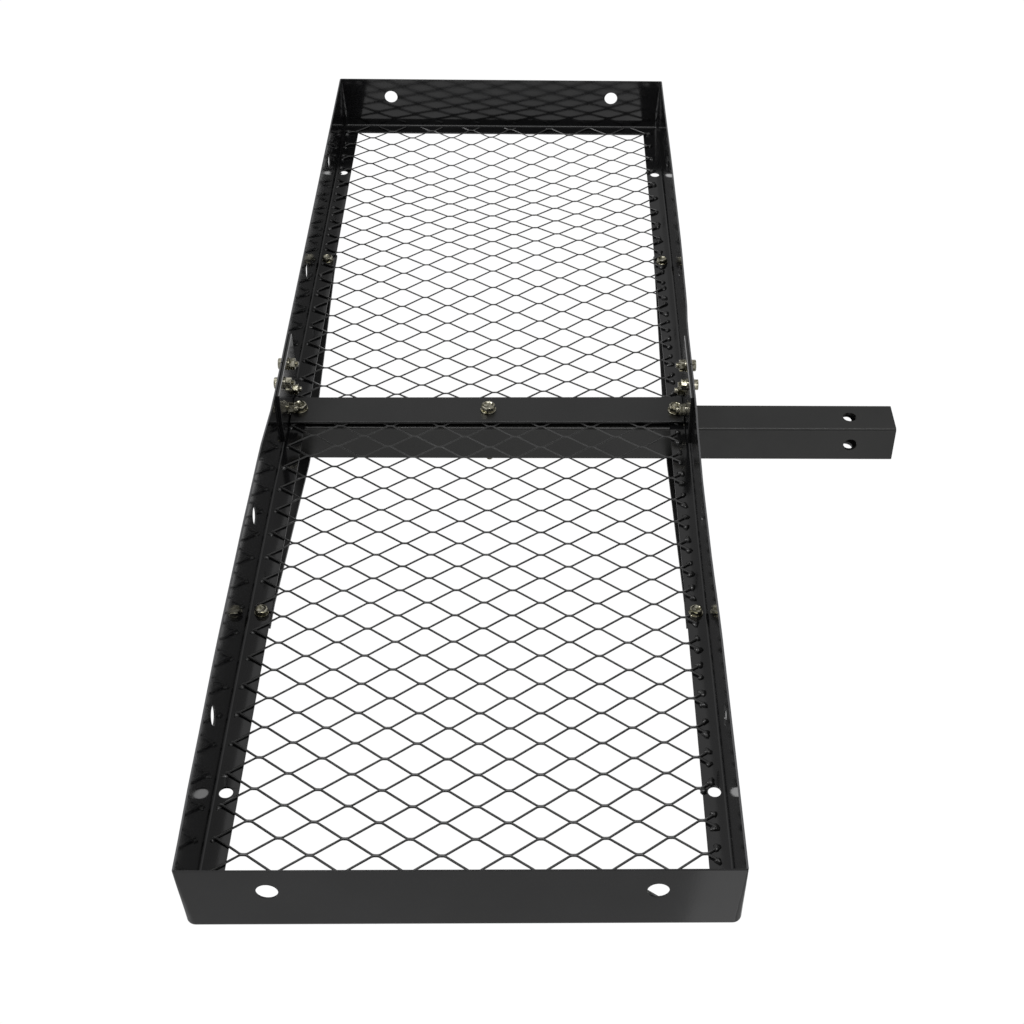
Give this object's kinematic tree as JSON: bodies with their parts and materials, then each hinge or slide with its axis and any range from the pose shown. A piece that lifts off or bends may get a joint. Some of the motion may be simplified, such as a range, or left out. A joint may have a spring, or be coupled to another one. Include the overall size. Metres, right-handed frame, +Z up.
{
  "type": "hitch cargo carrier",
  "caption": "Shallow steel cargo tray with an expanded-metal floor on a square hitch tube whose shank slides into a vehicle receiver.",
  "frame": {"origin": "centre of the hitch pin hole, on the axis of the hitch tube", "axes": "+X along the shank toward the vehicle, +Y along the length of the tray, +Z up"},
  "size_m": [0.7769, 1.524, 0.151],
  "materials": {
    "rail_powder_coat": "gloss black powder coat",
    "mesh_powder_coat": "gloss black powder coat",
    "tube_powder_coat": "gloss black powder coat",
    "bracket_powder_coat": "satin black powder coat",
    "zinc_plate": "bright zinc plate"
  },
  "bodies": {
    "root": {"near_left_rail": "rail_powder_coat", "near_right_rail": "rail_powder_coat", "near_end_rail": "rail_powder_coat", "far_left_rail": "rail_powder_coat", "far_right_rail": "rail_powder_coat", "far_end_rail": "rail_powder_coat", "near_mesh_panel": "mesh_powder_coat", "far_mesh_panel": "mesh_powder_coat", "hitch_tube": "tube_powder_coat", "clamp_bar": "bracket_powder_coat", "left_splice_plate": "bracket_powder_coat", "right_splice_plate": "bracket_powder_coat", "left_brace": "bracket_powder_coat", "right_brace": "bracket_powder_coat", "clamp_bolts": "zinc_plate", "clamp_washers": "zinc_plate", "clamp_nuts": "zinc_plate", "splice_bolts": "zinc_plate", "splice_washers": "zinc_plate", "splice_nuts": "zinc_plate", "brace_bolts": "zinc_plate", "brace_washers": "zinc_plate", "brace_nuts": "zinc_plate"}
  },
  "joints": []
}
